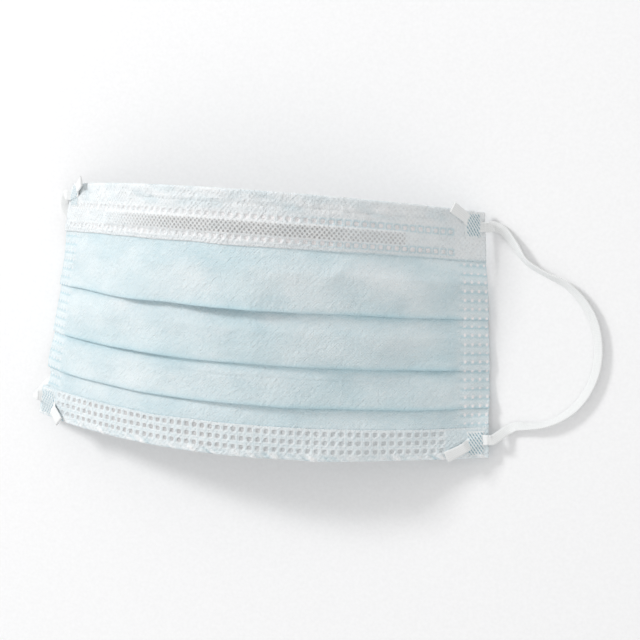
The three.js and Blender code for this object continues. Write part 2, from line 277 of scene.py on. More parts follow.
def new_object(name: str, bm: bmesh.types.BMesh, smooth: bool = True) -> bpy.types.Object:
    """Turns a bmesh into an object of the scene."""
    mesh = bpy.data.meshes.new(name)
    bm.to_mesh(mesh)
    bm.free()
    for polygon in mesh.polygons:
        polygon.use_smooth = smooth
    piece = bpy.data.objects.new(name, mesh)
    bpy.context.scene.collection.objects.link(piece)
    return piece


def set_marks(mesh: bpy.types.Mesh, marks: Marks) -> None:
    """Stores one number per vertex under each name."""
    for name, values in marks.items():
        attribute = mesh.attributes.new(name, "FLOAT", "POINT")
        attribute.data.foreach_set("value", np.asarray(values, np.float32).ravel())


def cloth_grid(
    name: str,
    columns: Sequence[float],
    lengths: Sequence[float],
    place: Callable[[Array, Array], tuple[Array, Marks]],
) -> bpy.types.Object:
    """A sheet made from a grid whose lines fall on given places.

    Args:
        name: Name of the piece.
        columns: Places of the grid's columns along the width.
        lengths: Places of the grid's rows along the cloth, as it was cut.
        place: Gives points and marks for arrays of column and row numbers.

    Returns:
        The new object.
    """
    bm = bmesh.new()
    nx, ny = len(columns) - 1, len(lengths) - 1
    bmesh.ops.create_grid(bm, x_segments=nx, y_segments=ny, size=1.0)
    piece = new_object(name, bm)
    mesh = piece.data
    co = np.empty(len(mesh.vertices) * 3)
    mesh.vertices.foreach_get("co", co)
    co = co.reshape(-1, 3)
    i = np.rint((co[:, 0] + 1) / 2 * nx).astype(int)
    j = np.rint((co[:, 1] + 1) / 2 * ny).astype(int)
    points, marks = place(i, j)
    mesh.vertices.foreach_set("co", points.ravel())
    corner = np.empty(len(mesh.loops), int)
    mesh.loops.foreach_get("vertex_index", corner)
    flat = np.stack([np.asarray(columns)[i], np.asarray(lengths)[j]], axis=1) / UV_SIZE
    layer = mesh.uv_layers.new(name="Cloth")
    layer.data.foreach_set("uv", flat[corner].astype(np.float32).ravel())
    set_marks(mesh, marks)
    mesh.update()
    return piece


def thicken(piece: bpy.types.Object, thickness: float, back_slot: int = 0) -> None:
    """Gives a sheet its wall, half to each side.

    Args:
        piece: The sheet.
        thickness: Wall in millimetres.
        back_slot: How many material slots further on the back's finish is.
    """
    wall = piece.modifiers.new("wall", "SOLIDIFY")
    wall.thickness = thickness * MM
    wall.offset = 0.0
    wall.use_rim = True
    wall.material_offset = back_slot


# ---- Finishes ----------------------------------------------------------------------


class Graph:
    """A short way to write a material's nodes."""

    def __init__(self, name: str) -> None:
        """Starts a material with its shader and output only."""
        self.material = bpy.data.materials.new(name)
        self.material.use_nodes = True
        self.tree = self.material.node_tree
        self.shader = self.tree.nodes["Principled BSDF"]

    def add(self, kind: str, inputs: Optional[dict] = None, **settings: object) -> bpy.types.Node:
        """Adds a node.

        Args:
            kind: The node's type, without its ShaderNode prefix.
            inputs: Values or sockets for its inputs, by name or number.
            **settings: The node's own properties.

        Returns:
            The node.
        """
        node = self.tree.nodes.new("ShaderNode" + kind)
        for key, value in settings.items():
            setattr(node, key, value)
        for key, value in (inputs or {}).items():
            self.feed(node.inputs[key], value)
        return node

    def feed(self, socket: Socket, value: object) -> None:
        """Links a socket to an input, or sets the input's value."""
        if isinstance(value, Socket):
            self.tree.links.new(value, socket)
        else:
            socket.default_value = value

    def math(self, operation: str, a: object, b: object = 0.0, c: object = 0.0) -> Socket:
        """One Math node's result."""
        node = self.add("Math", {0: a, 1: b, 2: c}, operation=operation)
        return node.outputs[0]

    def ease(self, value: object, low: float, high: float) -> Socket:
        """Eases a value from 0 at low to 1 at high."""
        inputs = {"Value": value, "From Min": low, "From Max": high}
        return self.add("MapRange", inputs, interpolation_type="SMOOTHSTEP").outputs[0]

    def mix(self, factor: object, a: object, b: object) -> Socket:
        """Mixes two colours."""
        node = self.add("Mix", {"Factor": factor}, data_type="RGBA")
        self.feed(node.inputs[6], a if isinstance(a, Socket) else (*a, 1.0))
        self.feed(node.inputs[7], b if isinstance(b, Socket) else (*b, 1.0))
        return node.outputs[2]

    def mark(self, name: str) -> Socket:
        """A number stored on the mesh."""
        return self.add("Attribute", attribute_name=name).outputs["Fac"]

    def times(self, a: object, b: object) -> Socket:
        """Product of two values."""
        return self.math("MULTIPLY", a, b)

    def mapped(self, waves: Triple, turn: float = 0.0, shift: Triple = (0, 0, 0)) -> Socket:
        """The piece's own UV map, measured in waves.

        Args:
            waves: Length of a wave along each axis, in millimetres.
            turn: Turn of the waves, in radians.
            shift: Shift of the waves, in wave lengths.

        Returns:
            The mapped coordinates.
        """
        uv = self.add("UVMap", uv_map="Cloth").outputs[0]
        scale = tuple(wave / UV_SIZE for wave in waves)
        place = tuple(part * size for part, size in zip(shift, scale))
        inputs = {"Vector": uv, "Location": place, "Rotation": (0, 0, turn), "Scale": scale}
        return self.add("Mapping", inputs, vector_type="TEXTURE").outputs[0]

    def noise(self, waves: Triple, detail: float, turn: float = 0.0) -> Socket:
        """Smooth noise over the UV map, with wave lengths in millimetres."""
        inputs = {"Vector": self.mapped(waves, turn), "Scale": 1.0, "Detail": detail, "Roughness": 0.6}
        return self.add("TexNoise", inputs).outputs[0]

    def surface(self, settings: dict[str, object]) -> None:
        """Sets or links the shader's inputs by name."""
        for name, value in settings.items():
            self.feed(self.shader.inputs[name], value)

    def scatter(self, weight: float) -> None:
        """Lets light spread a little inside the cloth."""
        self.surface({
            "Subsurface Weight": weight,
            "Subsurface Radius": (1.0, 1.15, 1.25),
            "Subsurface Scale": 0.0015,
        })

    def bumps(self, parts: Sequence[tuple[object, float, float]]) -> None:
        """Chains bump nodes into the shader's normal.

        Args:
            parts: Height, strength and distance in metres of each.
        """
        normal = None
        for height, strength, distance in parts:
            inputs = {"Height": height, "Strength": strength, "Distance": distance}
            if normal is not None:
                inputs["Normal"] = normal
            normal = self.add("Bump", inputs).outputs[0]
        self.feed(self.shader.inputs["Normal"], normal)


@dataclass(frozen=True)
class Spunbond:
    """Non-woven cloth: fine fibres pressed together at staggered bond points."""

    name: str
    colour: Colour
    thick_colour: Colour
    weld_colour: Colour
    wire_colour: Colour = (0.62, 0.61, 0.60)
    pit_colour: Colour = (0.20, 0.19, 0.19)
    # Pale fibre streaks, and painted highlights where the light-and-shade mark is above 0.
    pale_and_highlight_colour: Colour = (0.94, 0.96, 0.97)
    # Painted shade where the mark is below 0, and the deeper side of its random clouds.
    shade_and_deep_colour: Colour = (0.34, 0.58, 0.66)
    bond_pitch: tuple[float, float] = (1.1, 0.95)
    bond_depth: float = 0.5
    grain_depth: float = 0.00055
    fibre_share: float = 0.65
    roughness: float = 0.78
    scatter: float = 0.25
    cloud_waves: Triple = (14, 9, 14)
    fibre_waves: Triple = (2.6, 0.85, 1.0)
    fibre_turn: float = 48.0
    grain_waves: Triple = (1.15, 1.15, 1.0)
    noise_detail: float = 3.0
    streak_share: float = 0.20
    pressed_share: float = 0.14
    pressed_shade: float = 0.80
    wire_share: float = 0.42
    pit_share: float = 0.68
    pit_grain: tuple[float, float] = (1.3, 0.2)
    weld_gloss: float = 0.45

    def bond_points(self, graph: Graph) -> Socket:
        """Distance from the nearest bond point of two staggered rows, in cells."""
        pitch = (*self.bond_pitch, 1.0)
        rows = []
        for shift in ((0.0, 0.0, 0.0), (0.5, 0.5, 0.0)):
            cells = graph.add(
                "TexVoronoi",
                {"Vector": graph.mapped(pitch, 0.0, shift), "Scale": 1.0, "Randomness": 0.0},
                voronoi_dimensions="2D",
            )
            rows.append(cells.outputs["Distance"])
        return graph.math("MINIMUM", rows[0], rows[1])

    def cloth_colour(self, graph: Graph, bond: Socket, fibres: Socket) -> Socket:
        """Colour of the cloth: thick clouds, pale fibres, pressed points, painted light and shade, and
        random clouds.
        """
        cloudy = graph.noise(self.cloud_waves, self.noise_detail)
        body = graph.mix(graph.ease(cloudy, 0.30, 0.72), self.colour, self.thick_colour)
        streak = graph.times(graph.ease(fibres, 0.45, 0.75), self.streak_share)
        body = graph.mix(streak, body, self.pale_and_highlight_colour)
        pressed = graph.times(graph.math("SUBTRACT", 1.0, bond), self.pressed_share)
        body = graph.mix(pressed, body, tuple(c * self.pressed_shade for c in self.colour))
        # The mark paints highlights above 0 and shade below 0, and also carries random clouds.
        painted_light_and_tone = graph.mark("painted_light_and_tone")
        body = graph.mix(graph.math("MAXIMUM", painted_light_and_tone, 0.0), body, self.pale_and_highlight_colour)
        shade_and_deep_share = graph.math("MAXIMUM", graph.times(painted_light_and_tone, -1.0), 0.0)
        return graph.mix(shade_and_deep_share, body, self.shade_and_deep_colour)

    def over_wire(self, graph: Graph, body: Socket, points: Socket, grain: Socket) -> Socket:
        """Darkens the cloth where the wire shows through, most at its bond points."""
        wire = graph.mark("wire")
        body = graph.mix(graph.times(wire, self.wire_share), body, self.wire_colour)
        pits = graph.math("SUBTRACT", 1.0, graph.ease(points, 0.15, 0.32))
        pits = graph.times(pits, graph.math("MULTIPLY_ADD", grain, *self.pit_grain))
        return graph.mix(graph.times(graph.times(wire, pits), self.pit_share), body, self.pit_colour)

    def material(self) -> bpy.types.Material:
        """Builds the cloth's material."""
        graph = Graph(self.name)
        points = self.bond_points(graph)
        bond = graph.ease(points, 0.12, 0.34)
        fibres = graph.noise(self.fibre_waves, self.noise_detail, math.radians(self.fibre_turn))
        grain = graph.noise(self.grain_waves, self.noise_detail)
        body = self.over_wire(graph, self.cloth_colour(graph, bond, fibres), points, grain)
        weld = graph.mark("weld")
        graph.surface({
            "Base Color": graph.mix(weld, body, self.weld_colour),
            "Roughness": graph.math("MULTIPLY_ADD", weld, -self.weld_gloss, self.roughness),
            "Specular IOR Level": 0.35,
            "Sheen Weight": 0.15,
            "Sheen Roughness": 0.5,
        })
        graph.scatter(self.scatter)
        graph.bumps([
            (bond, self.bond_depth, 0.00010),
            (fibres, self.fibre_share, self.grain_depth),
            (grain, 0.8, self.grain_depth),
        ])
        return graph.material


@dataclass(frozen=True)
class KnitElastic:
    """Flat knitted elastic: fine ribs along the band and rows of stitches across it."""

    name: str = "knit_elastic"
    colour: Colour = (0.93, 0.94, 0.93)
    # Painted shade in the knit's grooves.
    knit_groove_shade_colour: Colour = (0.76, 0.77, 0.77)
    stitch_pitch: float = 0.55
    ribs: int = 6
    slant: float = 1.1
    fuzz_waves: Triple = (0.5, 14.0, 1.0)

    def material(self) -> bpy.types.Material:
        """Builds the elastic's material; its UV map is u along and v across the band."""
        graph = Graph(self.name)
        uv = graph.add("UVMap", uv_map="Cloth").outputs[0]
        parts = graph.add("SeparateXYZ", {0: uv})
        along = graph.times(parts.outputs[0], 2 * math.pi * UV_SIZE / self.stitch_pitch)
        across = graph.times(parts.outputs[1], 2 * math.pi * self.ribs)
        slant = graph.math("ADD", along, graph.times(graph.math("SINE", across), self.slant))
        stitch = graph.math("MULTIPLY_ADD", graph.math("SINE", slant), 0.5, 0.5)
        rib = graph.math("MULTIPLY_ADD", graph.math("COSINE", across), 0.5, 0.5)
        knit = graph.times(stitch, rib)
        fuzz = graph.noise(self.fuzz_waves, 2.0)
        # Crests keep the white; grooves get painted shade, mixed with random fuzz.
        painted_light_and_tone = graph.math("MULTIPLY_ADD", knit, 0.6, graph.times(fuzz, 0.4))
        body = graph.mix(painted_light_and_tone, self.knit_groove_shade_colour, self.colour)
        graph.surface({"Base Color": body, "Roughness": 0.8, "Sheen Weight": 0.2})
        graph.bumps([(knit, 0.6, 0.00012), (fuzz, 0.3, 0.00008)])
        return graph.material


@dataclass(frozen=True)
class WeldMark:
    """Cloth and elastic melted together under a cross-hatched tool."""

    name: str = "weld_mark"
    # Painted shade in the pressed valleys of the hatching.
    valley_shade_colour: Colour = (0.22, 0.40, 0.48)
    ridge_colour: Colour = (0.84, 0.88, 0.89)

    def material(self) -> bpy.types.Material:
        """Builds the weld's material from the depth of its hatching, with painted shade in its valleys.
        """
        graph = Graph(self.name)
        valley = graph.mark("valley")
        grain = graph.noise((0.5, 0.5, 1.0), 2.0)
        # Painted shade in the valleys.
        body = graph.mix(valley, self.ridge_colour, self.valley_shade_colour)
        body = graph.mix(graph.times(grain, 0.25), body, self.ridge_colour)
        graph.surface({"Base Color": body, "Roughness": 0.42})
        graph.scatter(0.2)
        graph.bumps([(grain, 0.3, 0.00006)])
        return graph.material


def plain_finish(
    name: str, colour: Colour, roughness: float, metallic: float = 0.0
) -> bpy.types.Material:
    """A finish with a fine grain, for pieces that hardly show."""
    graph = Graph(name)
    place = graph.add("TexCoord").outputs["Object"]
    grain = graph.add("TexNoise", {"Vector": place, "Scale": 900.0, "Detail": 2.0}).outputs[0]
    shade = graph.mix(grain, tuple(c * 0.92 for c in colour), colour)
    graph.surface({"Base Color": shade, "Roughness": roughness, "Metallic": metallic})
    graph.bumps([(grain, 0.15, 0.00005)])
    return graph.material


# ---- The pleated panel -------------------------------------------------------------


@dataclass(frozen=True)
class Pleat:
    """One downward-facing knife pleat."""

    lip: float
    depth: float
    gape: float
    gape_at: float
    gape_spread: float
    dip: float
    dip_reach: float
    sway: float
    nick: float = 0.0
    nick_at: float = 0.0
    nick_spread: float = 0.08

    def opening(self, s: Array) -> Array:
        """How far the lip stands open along s, in millimetres."""
        wide = self.gape * bump(s, self.gape_at, self.gape_spread)
        return wide + self.nick * bump(s, self.nick_at, self.nick_spread)


@dataclass
class Row:
    """One line of the folded sheet, along the whole width."""

    length: float
    v: float
    level: float
    shown: bool
    open_share: float = 0.0
    pleat: int = 0


@dataclass
class PleatedPanel:
    """The blue outer cloth and white inner cloth, folded as one sheet."""

    form: ClothForm
    thickness: float = 0.42
    layer_pitch: float = 0.64
    seam_pitch: float = 0.46
    seam_width: float = 10.0
    hem_edge: float = 65.8
    top: float = 81.9
    bottom: float = 0.8
    fold_radius: float = 0.40
    row_step: float = 0.52
    hidden_step: float = 2.2
    column_step: float = 0.92
    dot_pitch: float = 2.42
    dot_size: float = 0.95
    dot_row_pitch: float = 2.95
    dot_rows: tuple[float, float] = (11.6, 65.0)
    left_dots: tuple[float, ...] = (1.6, 4.0, 6.4, 8.9)
    right_dots: tuple[float, ...] = (0.8, 3.2, 5.6, 8.1)
    pleats: tuple[Pleat, ...] = (
        Pleat(46.6, 12.0, 2.0, -0.06, 0.26, 1.5, 3.6, 0.45, 0.9, -0.43),
        Pleat(29.6, 10.5, 0.7, -0.42, 0.16, 0.5, 2.4, 0.35),
        Pleat(16.8, 9.0, 0.3, 0.10, 0.50, 0.3, 2.0, 0.30),
    )
    waves: tuple[Wave, ...] = (
        Wave(1.05, 0.0, 34, 17, 3.1), Wave(0.60, 0.5, 13, 8, 8.4), Wave(0.16, -0.6, 4.5, 3.5, 5.2),
    )
    creases: tuple[Mound, ...] = (
        Mound(0.35, 47, 1.6, 57, 7, 0.15), Mound(0.5, 68.8, 2.6, 60, 5, -0.9),
    )
    # Patches of painted highlight on the panel.
    highlight_patches: tuple[Mound, ...] = (
        Mound(0.40, 41, 7, 44, 2.4), Mound(0.35, 132, 13, 60, 3.5),
        Mound(0.28, 101, 5, 43.6, 1.8), Mound(0.30, 148, 12, 57, 6),
    )
    edge_sink: float = 1.5
    edge_tuck: float = 1.9
    groove_depth: float = 0.16
    dot_rise: float = 0.10
    # Painted shade in the grooves, on the lips and under them; random paler clouds; the side welds a
    # little paler.
    groove_shade: float = 0.66
    lip_shade: float = 0.38
    under_lip_shade: float = 0.26
    cloud_tone: float = 0.38
    seam_tone: float = 0.22

    def strip_start(self, k: int) -> float:
        """Height where strip k comes out of cover."""
        return self.hem_edge if k == 0 else self.pleats[k - 1].lip

    def level(self, k: int, v: float) -> float:
        """Height of strip k in layers, rising by two from its start to its lip."""
        start = self.strip_start(k)
        if v > start:
            return 0.0 if k == 0 else self.level(k - 1, v) - 2.0
        if k == len(self.pleats):
            return 0.0
        return 2.0 * (start - v) / (start - self.pleats[k].lip)

    def fold(self, rows: list[Row], k: int, at_lip: bool, segments: int) -> None:
        """Adds a U-turn of the sheet, at the lip of pleat k or at the top of its hidden fold."""
        pleat = self.pleats[k]
        edge = pleat.lip if at_lip else pleat.lip + pleat.depth
        middle = edge + (self.fold_radius if at_lip else -self.fold_radius)
        start = self.level(k, middle) - (1.0 if at_lip else 2.0)
        length = rows[-1].length
        for i in range(1, segments):
            angle = math.pi * i / segments
            reach = self.fold_radius * math.sin(angle) * (-1 if at_lip else 1)
            length += math.pi * self.fold_radius / segments
            level = start + (1 - math.cos(angle)) / 2
            rows.append(Row(length, middle + reach, level, at_lip, 1.0 if at_lip else 0.0, k))

    def run(self, rows: list[Row], k: int, a: float, b: float, drop: float, shown: bool) -> None:
        """Adds a straight run of the sheet from height a to height b.

        Args:
            rows: The rows so far.
            k: The strip whose slope it follows.
            a: Where it starts.
            b: Where it ends.
            drop: How many layers it lies behind strip k.
            shown: Whether it is seen from the front.
        """
        length = rows[-1].length if rows else 0.0
        for i, v in enumerate(steps(a, b, self.row_step if shown else self.hidden_step)):
            here = length + abs(v - a) + (0.2 if i == 0 and rows else 0.0)
            share, pleat = 0.0, min(k, len(self.pleats) - 1)
            if k < len(self.pleats) and drop < 2.0:
                fold = self.pleats[k]
                share = max(0.0, 1.0 - max(0.0, v - fold.lip) / (fold.depth - self.fold_radius)) ** 2
            rows.append(Row(here, v, self.level(k, v) - drop, shown, share, pleat))

    def rows(self) -> list[Row]:
        """The whole sheet from its bottom edge to its top edge, through every fold."""
        rows: list[Row] = []
        reach = self.bottom
        for k in reversed(range(len(self.pleats))):
            pleat = self.pleats[k]
            folded = pleat.lip + pleat.depth - self.fold_radius
            self.run(rows, k + 1, reach, pleat.lip, 0.0, True)
            self.run(rows, k + 1, pleat.lip + self.hidden_step, folded, 0.0, False)
            self.fold(rows, k, False, 4)
            self.run(rows, k, folded, pleat.lip + self.fold_radius, 1.0, False)
            self.fold(rows, k, True, 8)
            reach = pleat.lip + self.fold_radius
        self.run(rows, 0, reach, self.hem_edge, 0.0, True)
        self.run(rows, 0, self.hem_edge + self.hidden_step, self.top, 0.0, False)
        return rows

    def dot_columns(self) -> list[float]:
        """Places of the side welds' columns of points along the width."""
        return [*self.left_dots, *[self.form.width - u for u in self.right_dots]]

    def columns(self) -> list[float]:
        """Grid lines along the width, close ones on the side welds' points."""
        half = self.dot_size / 2
        places = {0.0, self.form.width}
        for u in self.dot_columns():
            places.update((u - half, u - half * 0.55, u, u + half * 0.55, u + half))
            places.add(u - self.dot_pitch / 2)
        left, right = max(self.left_dots) + 1.2, self.form.width - max(self.right_dots) - 1.2
        places.update((left, right))
        places.update(steps(left + 0.6, right - 0.6, self.column_step))
        return sorted(p for p in places if 0.0 <= p <= self.form.width)

    def dots(self, u: Array, v: Array) -> Array:
        """1 on the side welds' points, 0 off them."""
        column = np.min([np.abs(u - c) for c in self.dot_columns()], axis=0)
        turns = (v - self.dot_rows[0]) / self.dot_row_pitch
        row = np.abs(turns - np.rint(turns)) * self.dot_row_pitch
        inside = (v > self.dot_rows[0] - 1) & (v < self.dot_rows[1] + 1)
        edge = self.dot_size / 2
        return (1 - smoothstep(np.maximum(column, row), edge * 0.6, edge * 1.15)) * inside

    def drape(self, u: Array, v: Array) -> Array:
        """Soft waves of the cloth off its arch, in millimetres."""
        waves = sum(part.at(u, v) for part in (*self.waves, *self.creases))
        inner = smoothstep(u, 2, 16) * (1 - smoothstep(u, self.form.width - 16, self.form.width - 2))
        return waves * (0.05 + 0.95 * inner)

    def settle(self, u: Array, v: Array) -> Array:
        """How far the side edges sink onto the ground, in millimetres."""
        edge = np.minimum(u, self.form.width - u)
        between = smoothstep(v, 12, 22) * (1 - smoothstep(v, 58, 68))
        return self.edge_sink * between * (1 - smoothstep(edge, 0, 8))

    def tuck(self, u: Array, v: Array) -> Array:
        """How far the left edge is drawn in above the lower hem, in millimetres."""
        return self.edge_tuck * bump(v, 13.2, 4.6) * (1 - smoothstep(u, 0, 13))

    def seam(self, u: Array) -> Array:
        """1 in the side welds, 0 between them."""
        edge = np.minimum(u, self.form.width - u)
        return 1 - smoothstep(edge, self.seam_width - 1.2, self.seam_width + 1.6)

    def groove_turn(self, v: Array) -> Array:
        """Turn of the side welds' grooves, which run between their rows of points."""
        return 2 * math.pi * (v - self.dot_rows[0]) / self.dot_row_pitch

    def painted_light_and_tones(self, u: Array, v: Array, plain_v: Array, pleat_of: Array, inside: Array) -> Array:
        """Painted light and shade with random clouds: paler places above 0 and deeper ones below 0.

        Args:
            u: Places along the width.
            v: Places up the height, swayed at the lips.
            plain_v: The same heights before the sway.
            pleat_of: Number of the pleat that each place belongs to.
            inside: 1 between the side welds, 0 in them.

        Returns:
            The painted light and shade with the random clouds.
        """
        seam = self.seam(u)
        # Painted shade in the side welds' grooves, between their rows of points.
        painted_light_and_tone = -self.groove_shade * seam**2 * (0.5 + 0.5 * np.cos(self.groove_turn(v) + 0.9)) ** 3
        for k, pleat in enumerate(self.pleats):
            mine = pleat_of == k
            on_lip, under_lip = bump(plain_v, pleat.lip, 0.9), bump(plain_v, pleat.lip - 0.6, 1.1)
            # Painted shade on each lip, and painted shadow just under it.
            painted_light_and_tone -= self.lip_shade * mine * on_lip * (1 - 0.9 * seam)
            painted_light_and_tone -= self.under_lip_shade * ~mine * under_lip * (1 - 0.9 * seam)
        clouds = np.clip(rumple(u + 0.4 * v, v, 24, 12, 31.0), -0.35, 1)
        painted_light_and_tone += self.cloud_tone * inside * clouds
        # Patches of painted highlight.
        painted_light_and_tone += sum(patch.at(u, v) for patch in self.highlight_patches)
        return painted_light_and_tone + self.seam_tone * seam

    def build(self) -> bpy.types.Object:
        """Makes the folded sheet."""
        rows, columns = self.rows(), self.columns()
        lengths = np.array([r.length for r in rows])
        row_v = np.array([r.v for r in rows])
        row_level = np.array([r.level for r in rows])
        row_open = np.array([r.open_share for r in rows])
        row_pleat = np.array([r.pleat for r in rows])
        row_shown = np.array([float(r.shown) for r in rows])
        column_u = np.array(columns)
        width = self.form.width

        def place(i: Array, j: Array) -> tuple[Array, Marks]:
            """Points and marks of columns i and rows j."""
            u, v, level = column_u[i], row_v[j].copy(), row_level[j]
            s = 2 * u / width - 1
            inside = smoothstep(np.minimum(u, width - u), self.seam_width - 3, self.seam_width + 5)
            pitch = self.seam_pitch + (self.layer_pitch - self.seam_pitch) * inside
            w = pitch * level
            for k, pleat in enumerate(self.pleats):
                mine = (row_pleat[j] == k) * row_open[j]
                gap = pleat.opening(s) * (1 + 0.35 * ripple(u, 9, 20.0 + k))
                puff = 0.22 * inside * (1 + 0.8 * ripple(u, 14, 40.0 + k))
                w += mine * (gap + puff)
                below = np.exp(-((np.maximum(pleat.lip - v, 0) / pleat.dip_reach) ** 2))
                under = (row_level[j] <= 0.7) & (v < pleat.lip + pleat.depth) & (mine == 0)
                near = below * under * (v > pleat.lip - 3 * pleat.dip_reach)
                w -= near * pleat.dip * pleat.opening(s) / pleat.gape * inside
                sway = pleat.sway * ripple(u, 28, 60.0 + k) * inside
                v += sway * np.exp(-(((v - pleat.lip) / 5.0) ** 2))
            w += self.drape(u, v)
            groove = 0.5 + 0.5 * np.cos(self.groove_turn(v))
            w -= self.groove_depth * self.seam(u) * groove * row_shown[j]
            dots = self.dots(u, v) * row_shown[j]
            w += self.dot_rise * dots
            # Painted light and shade of lips, grooves and patches, with random clouds, on the shown
            # side only.
            painted_light_and_tone = self.painted_light_and_tones(u, v, row_v[j], row_pleat[j], inside) * row_shown[j]
            points = self.form.points(u, v, w)
            points[:, 2] -= self.settle(u, v) * MM
            points[:, 0] += self.tuck(u, v) * MM
            dots = dots * (0.45 + 0.55 * smoothstep(u, 12, 40))
            return points, {"weld": dots, "painted_light_and_tone": painted_light_and_tone, "wire": dots * 0}

        piece = cloth_grid("pleated_cloth", columns, lengths, place)
        thicken(piece, self.thickness, 1)
        return piece

    def flat_size(self) -> tuple[float, float]:
        """Width and length of the sheet before it was folded, in metres."""
        return self.form.width * MM, self.rows()[-1].length * MM


# ---- The hems ----------------------------------------------------------------------


@dataclass
class Hem:
    """A folded binding with rows of square weld points on its front."""

    form: ClothForm
    panel: PleatedPanel
    name: str
    node: str
    edge: float
    fold: float
    dot_rows: tuple[float, ...]
    dot_start: float
    dot_pitch: float
    dot_range: tuple[float, float]
    thickness: float = 0.30
    face: float = 0.62
    dot_size: tuple[float, float] = (1.85, 1.70)
    dot_depth: float = 0.26
    dot_wall: float = 0.17
    rim_rise: float = 0.09
    edge_wave: float = 0.28
    plain_step: float = 0.7
    line_step: float = 0.42
    back_step: float = 1.4
    fold_steps: int = 8
    fading: float = 0.0
    seed: float = 1.0

    def dot_columns(self) -> Array:
        """Places of the weld points along the width."""
        low = math.ceil((self.dot_range[0] - self.dot_start) / self.dot_pitch)
        high = math.floor((self.dot_range[1] - self.dot_start) / self.dot_pitch)
        return self.dot_start + self.dot_pitch * np.arange(low, high + 1)

    def columns(self) -> list[float]:
        """Grid lines along the width, on both sides of each weld point's walls."""
        outer, inner = self.dot_size[0] / 2, self.dot_size[0] / 2 - self.dot_wall
        dots = self.dot_columns()
        places = [c + d for c in dots for d in (-outer, -inner, -inner / 3, inner / 3, inner, outer)]
        places += [c + self.dot_pitch / 2 for c in dots]
        places += steps(0.0, dots[0] - outer - 0.3, self.plain_step)
        places += steps(dots[-1] + self.dot_pitch / 2 + 0.4, self.form.width, self.plain_step)
        return sorted(places)

    def front_lines(self) -> list[float]:
        """Grid lines up the front, on both sides of each weld point's walls."""
        outer, inner = self.dot_size[1] / 2, self.dot_size[1] / 2 - self.dot_wall
        places = {v + d for v in self.dot_rows for d in (-outer, -inner, 0.0, inner, outer)}
        for v in steps(min(self.edge, self.fold), max(self.edge, self.fold), self.line_step):
            if min(abs(v - p) for p in places) > 0.16:
                places.add(v)
        return sorted(places)

    def path(self) -> list[tuple[float, float, float, bool]]:
        """Length, height, rise and whether it is the front, from one free edge to the other."""
        away = 1 if self.fold > self.edge else -1
        radius = self.face
        stop = self.fold - away * radius
        front = [v for v in self.front_lines() if (stop - v) * away > 0.05]
        front = [self.edge] + [v for v in front if (v - self.edge) * away > 0.1]
        if away < 0:
            front = sorted(front, reverse=True)
        path = [(abs(v - self.edge), v, radius, True) for v in front]
        length = abs(stop - self.edge)
        for i in range(self.fold_steps + 1):
            angle = math.pi * i / self.fold_steps
            v = stop + away * radius * math.sin(angle)
            path.append((length + radius * angle, v, radius * math.cos(angle), i < self.fold_steps / 2))
        length += math.pi * radius
        for v in steps(stop, self.edge, self.back_step)[1:]:
            path.append((length + abs(v - stop), v, -radius, False))
        return path if away > 0 else path[::-1]

    def dots(self, u: Array, v: Array) -> tuple[Array, Array]:
        """1 on the weld points, and 1 on the raised rims round them."""
        centres = self.dot_columns()
        number = np.rint((u - centres[0]) / self.dot_pitch)
        across = np.abs(u - centres[np.clip(number, 0, len(centres) - 1).astype(int)])
        lines = np.array(self.dot_rows)
        row = np.min(np.abs(v[..., None] - lines), axis=-1)
        outer = max(self.dot_size) / 2
        row = row * self.dot_size[0] / self.dot_size[1]
        far = (across**5 + row**5) ** 0.2
        return 1 - smoothstep(far, outer - self.dot_wall, outer - 0.02), bump(far, outer + 0.10, 0.34)

    def shape(self, u: Array, v: Array) -> tuple[Array, Marks]:
        """Height of the front off its plain face, and its marks."""
        dots, rims = self.dots(u, v)
        ends = smoothstep(u, self.dot_range[0] - 1, self.dot_range[0] + 18)
        ends = ends * (1 - smoothstep(u, self.dot_range[1] - 12, self.dot_range[1] + 2))
        rims = rims * (u > self.dot_range[0] - 1) * (u < self.dot_range[1] + 1)
        w = -self.dot_depth * dots + self.rim_rise * rims
        edge_highlight = bump(v, self.edge, 0.6)
        # Painted highlight on the raised rims round the weld points and along the free edge.
        painted_light_and_tone = 0.42 * rims + 0.45 * edge_highlight * smoothstep(u, 40, 90)
        weld = dots * (0.5 + 0.5 * ends) * (1 - self.fading * smoothstep(u, 70, 125))
        return w, {"weld": weld, "painted_light_and_tone": painted_light_and_tone, "wire": dots * 0}

    def build(self) -> bpy.types.Object:
        """Makes the folded hem."""
        path, columns = self.path(), np.array(self.columns())
        lengths = np.array([p[0] for p in path])
        row_v, row_w = np.array([p[1] for p in path]), np.array([p[2] for p in path])
        front = np.array([float(p[3]) for p in path])
        if lengths[0] > lengths[-1]:
            lengths = lengths[0] - lengths

        def place(i: Array, j: Array) -> tuple[Array, Marks]:
            """Points and marks of columns i and rows j."""
            u, v = columns[i], row_v[j]
            w, marks = self.shape(u, v)
            marks = {name: values * front[j] for name, values in marks.items()}
            wavy = self.edge_wave * ripple(u, 16, self.seed + 30)
            v = v + wavy * np.exp(-(((v - self.edge) / 1.6) ** 2))
            near_edge = np.exp(-((np.abs(row_v[j] - self.edge) / 1.3) ** 2)) * front[j]
            w = row_w[j] + w * front[j] + self.panel.drape(u, v) - (self.face - 0.40) * near_edge
            return self.form.points(u, v, w), marks

        piece = cloth_grid(self.name, columns, lengths, place)
        thicken(piece, self.thickness)
        return piece

    def flat_size(self) -> tuple[float, float]:
        """Width and length of the strip before it was folded, in metres."""
        path = self.path()
        return self.form.width * MM, max(path[0][0], path[-1][0]) * MM


